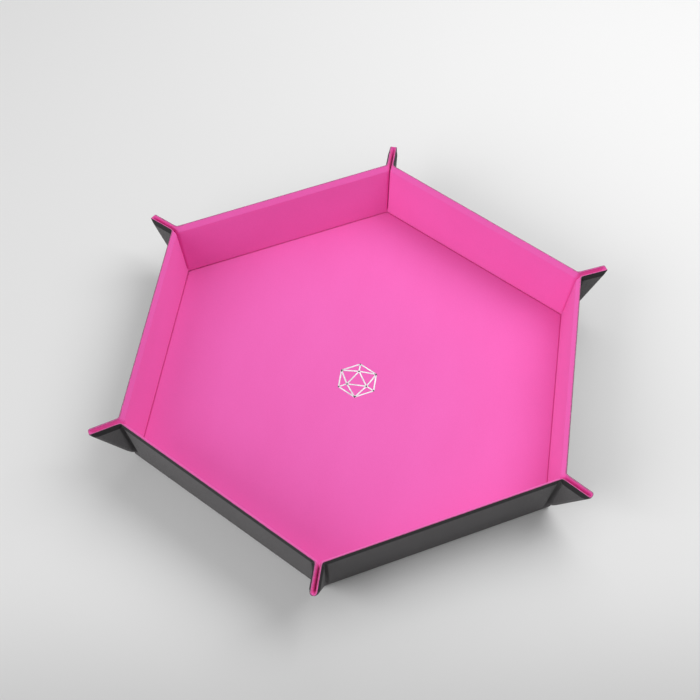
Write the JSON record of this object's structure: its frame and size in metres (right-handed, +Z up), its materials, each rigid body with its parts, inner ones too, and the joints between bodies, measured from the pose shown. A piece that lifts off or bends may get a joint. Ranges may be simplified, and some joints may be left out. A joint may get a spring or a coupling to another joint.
{
  "type": "folding dice tray",
  "caption": "Hexagonal dice tray whose lined walls stand up from a stiff floor, pinched into magnetic ears at the corners, and fold down flat.",
  "frame": {"origin": "on the table under the middle of the hexagonal floor, at the centre of the bottom of the bounding box", "axes": "+Z up; +X out through the middle of the right wall; +Y out through the back corner, so the tray is longest along Y"},
  "size_m": [0.3344, 0.3824, 0.046],
  "materials": {
    "cover": "fine-grained charcoal artificial leather",
    "lining": "smooth pink microfibre",
    "board": "grey board",
    "magnet": "nickel-plated disc"
  },
  "bodies": {
    "floor": {"floor_cover": "cover", "floor_board": "board", "floor_lining": "lining"},
    "right_wall": {"right_wall_cover": "cover", "right_wall_board": "board", "right_wall_lining": "lining"},
    "right_ear_a": {"right_ear_a_skin": "cover", "right_ear_a_board": "board", "right_ear_a_magnet": "magnet"},
    "right_ear_b": {"right_ear_b_skin": "cover", "right_ear_b_board": "board", "right_ear_b_magnet": "magnet"},
    "back_right_wall": {"back_right_wall_cover": "cover", "back_right_wall_board": "board", "back_right_wall_lining": "lining"},
    "back_right_ear_a": {"back_right_ear_a_skin": "cover", "back_right_ear_a_board": "board", "back_right_ear_a_magnet": "magnet"},
    "back_right_ear_b": {"back_right_ear_b_skin": "cover", "back_right_ear_b_board": "board", "back_right_ear_b_magnet": "magnet"},
    "back_left_wall": {"back_left_wall_cover": "cover", "back_left_wall_board": "board", "back_left_wall_lining": "lining"},
    "back_left_ear_a": {"back_left_ear_a_skin": "cover", "back_left_ear_a_board": "board", "back_left_ear_a_magnet": "magnet"},
    "back_left_ear_b": {"back_left_ear_b_skin": "cover", "back_left_ear_b_board": "board", "back_left_ear_b_magnet": "magnet"},
    "left_wall": {"left_wall_cover": "cover", "left_wall_board": "board", "left_wall_lining": "lining"},
    "left_ear_a": {"left_ear_a_skin": "cover", "left_ear_a_board": "board", "left_ear_a_magnet": "magnet"},
    "left_ear_b": {"left_ear_b_skin": "cover", "left_ear_b_board": "board", "left_ear_b_magnet": "magnet"},
    "front_left_wall": {"front_left_wall_cover": "cover", "front_left_wall_board": "board", "front_left_wall_lining": "lining"},
    "front_left_ear_a": {"front_left_ear_a_skin": "cover", "front_left_ear_a_board": "board", "front_left_ear_a_magnet": "magnet"},
    "front_left_ear_b": {"front_left_ear_b_skin": "cover", "front_left_ear_b_board": "board", "front_left_ear_b_magnet": "magnet"},
    "front_right_wall": {"front_right_wall_cover": "cover", "front_right_wall_board": "board", "front_right_wall_lining": "lining"},
    "front_right_ear_a": {"front_right_ear_a_skin": "cover", "front_right_ear_a_board": "board", "front_right_ear_a_magnet": "magnet"},
    "front_right_ear_b": {"front_right_ear_b_skin": "cover", "front_right_ear_b_board": "board", "front_right_ear_b_magnet": "magnet"}
  },
  "joints": [
    {"name": "right_wall_fold", "type": "hinge", "parent": "floor", "child": "right_wall", "pos_m": [0.142, 0, 0.0008], "axis": [0, 1, 0], "range_deg": [0, 81]},
    {"name": "right_ear_a_fold", "type": "hinge", "parent": "right_wall", "child": "right_ear_a", "pos_m": [0.14335, 0.08149, 0.02083], "axis": [0.1558, 0.09, 0.9837], "range_deg": [0, 60.43]},
    {"name": "right_ear_b_fold", "type": "hinge", "parent": "right_wall", "child": "right_ear_b", "pos_m": [0.14335, -0.08149, 0.02083], "axis": [-0.1558, 0.09, -0.9837], "range_deg": [0, 60.43]},
    {"name": "back_right_wall_fold", "type": "hinge", "parent": "floor", "child": "back_right_wall", "pos_m": [0.071, 0.12298, 0.0008], "axis": [-0.866, 0.5, 0], "range_deg": [0, 81]},
    {"name": "back_right_ear_a_fold", "type": "hinge", "parent": "back_right_wall", "child": "back_right_ear_a", "pos_m": [0.0011, 0.16489, 0.02083], "axis": [0, 0.1799, 0.9837], "range_deg": [0, 60.43]},
    {"name": "back_right_ear_b_fold", "type": "hinge", "parent": "back_right_wall", "child": "back_right_ear_b", "pos_m": [0.14225, 0.0834, 0.02083], "axis": [-0.1558, -0.09, -0.9837], "range_deg": [0, 60.43]},
    {"name": "back_left_wall_fold", "type": "hinge", "parent": "floor", "child": "back_left_wall", "pos_m": [-0.071, 0.12298, 0.0008], "axis": [-0.866, -0.5, 0], "range_deg": [0, 81]},
    {"name": "back_left_ear_a_fold", "type": "hinge", "parent": "back_left_wall", "child": "back_left_ear_a", "pos_m": [-0.14225, 0.0834, 0.02083], "axis": [-0.1558, 0.09, 0.9837], "range_deg": [0, 60.43]},
    {"name": "back_left_ear_b_fold", "type": "hinge", "parent": "back_left_wall", "child": "back_left_ear_b", "pos_m": [-0.0011, 0.16489, 0.02083], "axis": [0, -0.1799, -0.9837], "range_deg": [0, 60.43]},
    {"name": "left_wall_fold", "type": "hinge", "parent": "floor", "child": "left_wall", "pos_m": [-0.142, 0, 0.0008], "axis": [0, -1, 0], "range_deg": [0, 81]},
    {"name": "left_ear_a_fold", "type": "hinge", "parent": "left_wall", "child": "left_ear_a", "pos_m": [-0.14335, -0.08149, 0.02083], "axis": [-0.1558, -0.09, 0.9837], "range_deg": [0, 60.43]},
    {"name": "left_ear_b_fold", "type": "hinge", "parent": "left_wall", "child": "left_ear_b", "pos_m": [-0.14335, 0.08149, 0.02083], "axis": [0.1558, -0.09, -0.9837], "range_deg": [0, 60.43]},
    {"name": "front_left_wall_fold", "type": "hinge", "parent": "floor", "child": "front_left_wall", "pos_m": [-0.071, -0.12298, 0.0008], "axis": [0.866, -0.5, 0], "range_deg": [0, 81]},
    {"name": "front_left_ear_a_fold", "type": "hinge", "parent": "front_left_wall", "child": "front_left_ear_a", "pos_m": [-0.0011, -0.16489, 0.02083], "axis": [0, -0.1799, 0.9837], "range_deg": [0, 60.43]},
    {"name": "front_left_ear_b_fold", "type": "hinge", "parent": "front_left_wall", "child": "front_left_ear_b", "pos_m": [-0.14225, -0.0834, 0.02083], "axis": [0.1558, 0.09, -0.9837], "range_deg": [0, 60.43]},
    {"name": "front_right_wall_fold", "type": "hinge", "parent": "floor", "child": "front_right_wall", "pos_m": [0.071, -0.12298, 0.0008], "axis": [0.866, 0.5, 0], "range_deg": [0, 81]},
    {"name": "front_right_ear_a_fold", "type": "hinge", "parent": "front_right_wall", "child": "front_right_ear_a", "pos_m": [0.14225, -0.0834, 0.02083], "axis": [0.1558, -0.09, 0.9837], "range_deg": [0, 60.43]},
    {"name": "front_right_ear_b_fold", "type": "hinge", "parent": "front_right_wall", "child": "front_right_ear_b", "pos_m": [0.0011, -0.16489, 0.02083], "axis": [0, 0.1799, -0.9837], "range_deg": [0, 60.43]}
  ],
  "couplings": [
    {"joint": "right_ear_a_fold", "follows": "right_wall_fold", "ratio": 0.74576},
    {"joint": "right_ear_b_fold", "follows": "right_wall_fold", "ratio": 0.74576},
    {"joint": "back_right_wall_fold", "follows": "right_wall_fold", "ratio": 1},
    {"joint": "back_right_ear_a_fold", "follows": "right_wall_fold", "ratio": 0.74576},
    {"joint": "back_right_ear_b_fold", "follows": "right_wall_fold", "ratio": 0.74576},
    {"joint": "back_left_wall_fold", "follows": "right_wall_fold", "ratio": 1},
    {"joint": "back_left_ear_a_fold", "follows": "right_wall_fold", "ratio": 0.74576},
    {"joint": "back_left_ear_b_fold", "follows": "right_wall_fold", "ratio": 0.74576},
    {"joint": "left_wall_fold", "follows": "right_wall_fold", "ratio": 1},
    {"joint": "left_ear_a_fold", "follows": "right_wall_fold", "ratio": 0.74576},
    {"joint": "left_ear_b_fold", "follows": "right_wall_fold", "ratio": 0.74576},
    {"joint": "front_left_wall_fold", "follows": "right_wall_fold", "ratio": 1},
    {"joint": "front_left_ear_a_fold", "follows": "right_wall_fold", "ratio": 0.74576},
    {"joint": "front_left_ear_b_fold", "follows": "right_wall_fold", "ratio": 0.74576},
    {"joint": "front_right_wall_fold", "follows": "right_wall_fold", "ratio": 1},
    {"joint": "front_right_ear_a_fold", "follows": "right_wall_fold", "ratio": 0.74576},
    {"joint": "front_right_ear_b_fold", "follows": "right_wall_fold", "ratio": 0.74576}
  ]
}
